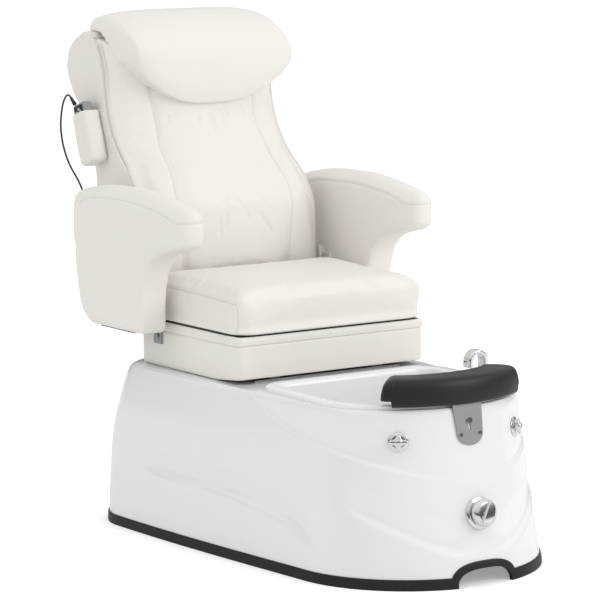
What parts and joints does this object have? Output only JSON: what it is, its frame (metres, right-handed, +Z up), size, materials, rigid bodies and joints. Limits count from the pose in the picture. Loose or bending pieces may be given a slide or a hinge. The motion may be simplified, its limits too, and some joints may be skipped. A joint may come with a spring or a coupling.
{
  "type": "pedicure chair",
  "caption": "Electric pedicure chair with a reclining padded back, lifting armrests, a sliding seat and a glossy white base with a foot basin, taps, spout and footrest.",
  "frame": {"origin": "on the floor, on the centre line, half way along the base shell", "axes": "front towards -Y, +Z up, +X to the right seen by someone who faces the front of the chair"},
  "size_m": [0.754, 1.4422, 1.253],
  "materials": {
    "shell_white": "glossy white moulded acrylic",
    "basin_white": "glossy white moulded acrylic",
    "rubber_black": "satin black rubber",
    "pad_black": "soft satin black urethane foam with a skin",
    "chrome": "polished chrome",
    "steel_frame": "satin powder coated steel",
    "steel_plate": "brushed steel",
    "leather_ivory": "soft ivory upholstery leatherette",
    "shell_cream": "ivory upholstery leatherette over a moulded shell",
    "board_black": "black stained plywood",
    "plastic_grey": "matt grey plastic",
    "plastic_black": "matt black plastic"
  },
  "bodies": {
    "base": {"base_shell": "shell_white", "edge_trim": "rubber_black", "foot_basin": "basin_white", "waterfall_spout": "chrome", "drain_fitting": "chrome", "drain_pipe": "plastic_grey", "drain_cable": "plastic_black", "knob_escutcheons": "chrome", "drain_escutcheon": "chrome", "tap_valves": "chrome", "water_pipes": "plastic_grey", "water_inlets": "chrome", "underframe": "steel_frame", "levelling_feet": "rubber_black", "seat_platform": "steel_plate", "slide_rails": "steel_plate", "slide_actuator": "plastic_grey", "power_supply": "plastic_grey", "power_inlet": "plastic_black", "footrest_screw": "chrome"},
    "footrest": {"footrest_pad": "pad_black", "footrest_bracket": "steel_plate", "bracket_rivets": "chrome"},
    "tap_left": {"knob_left": "chrome"},
    "tap_right": {"knob_right": "chrome"},
    "drain_control": {"drain_knob": "chrome"},
    "plug": {"drain_plug": "chrome"},
    "seat": {"seat_frame": "steel_frame", "runner_rails": "steel_plate", "slide_rod": "steel_plate", "seat_board": "board_black", "seat_cushion": "leather_ivory", "seat_skirt": "shell_cream", "arm_plates": "steel_plate", "arm_stops": "steel_plate", "recline_actuator": "plastic_grey", "hinge_pins": "steel_plate", "arm_pins": "steel_plate"},
    "recline_screw": {"recline_rod": "steel_plate"},
    "backrest": {"back_frame": "steel_frame", "back_shell": "shell_cream", "back_cushion": "leather_ivory", "head_pillow": "leather_ivory", "side_pocket": "shell_cream", "remote_control": "plastic_grey", "remote_relief": "plastic_black", "remote_cable": "plastic_black", "cable_gland": "plastic_black", "massage_rails": "steel_plate"},
    "carriage": {"massage_carriage": "plastic_grey"},
    "rollers": {"massage_rollers": "rubber_black"},
    "armrest_left": {"arm_body_left": "leather_ivory", "arm_pad_left": "leather_ivory", "arm_bracket_left": "steel_frame"},
    "armrest_right": {"arm_body_right": "leather_ivory", "arm_pad_right": "leather_ivory", "arm_bracket_right": "steel_frame"}
  },
  "joints": [
    {"name": "seat_slide", "type": "slide", "parent": "base", "child": "seat", "axis": [0, -1, 0], "range_m": [0, 0.15]},
    {"name": "backrest_recline", "type": "hinge", "parent": "seat", "child": "backrest", "pos_m": [0, 0.5, 0.56], "axis": [-1, 0, 0], "range_deg": [0, 35]},
    {"name": "recline_screw_travel", "type": "slide", "parent": "seat", "child": "recline_screw", "axis": [0, -1, 0], "range_m": [0, 0.0602]},
    {"name": "carriage_travel", "type": "slide", "parent": "backrest", "child": "carriage", "axis": [0, 0.3239, 0.9461], "range_m": [0, 0.3]},
    {"name": "roller_turn", "type": "hinge", "parent": "carriage", "child": "rollers", "pos_m": [0, 0.60696, 0.7242], "axis": [1, 0, 0], "continuous": true},
    {"name": "armrest_left_lift", "type": "hinge", "parent": "seat", "child": "armrest_left", "pos_m": [0, 0.5, 0.63], "axis": [-1, 0, 0], "range_deg": [0, 45]},
    {"name": "armrest_right_lift", "type": "hinge", "parent": "seat", "child": "armrest_right", "pos_m": [0, 0.5, 0.63], "axis": [-1, 0, 0], "range_deg": [0, 45]},
    {"name": "footrest_lift", "type": "slide", "parent": "base", "child": "footrest", "axis": [0, 0.1962, 0.9806], "range_m": [0, 0.02]},
    {"name": "tap_left_turn", "type": "hinge", "parent": "base", "child": "tap_left", "pos_m": [-0.1679, -0.47046, 0.332], "axis": [-0.5521, -0.8248, 0.1221], "range_deg": [0, 90]},
    {"name": "tap_right_turn", "type": "hinge", "parent": "base", "child": "tap_right", "pos_m": [0.1679, -0.47046, 0.332], "axis": [-0.5521, 0.8248, -0.1221], "range_deg": [0, 90]},
    {"name": "drain_control_turn", "type": "hinge", "parent": "base", "child": "drain_control", "pos_m": [0, -0.5561, 0.162], "axis": [0, -0.9785, 0.2062], "range_deg": [0, 90]},
    {"name": "plug_lift", "type": "slide", "parent": "base", "child": "plug", "axis": [0, 0, 1], "range_m": [0, 0.01]}
  ],
  "couplings": [
    {"joint": "recline_screw_travel", "follows": "backrest_recline", "m_per_rad": 0.098452},
    {"joint": "plug_lift", "follows": "drain_control_turn", "m_per_rad": 0.006366}
  ]
}
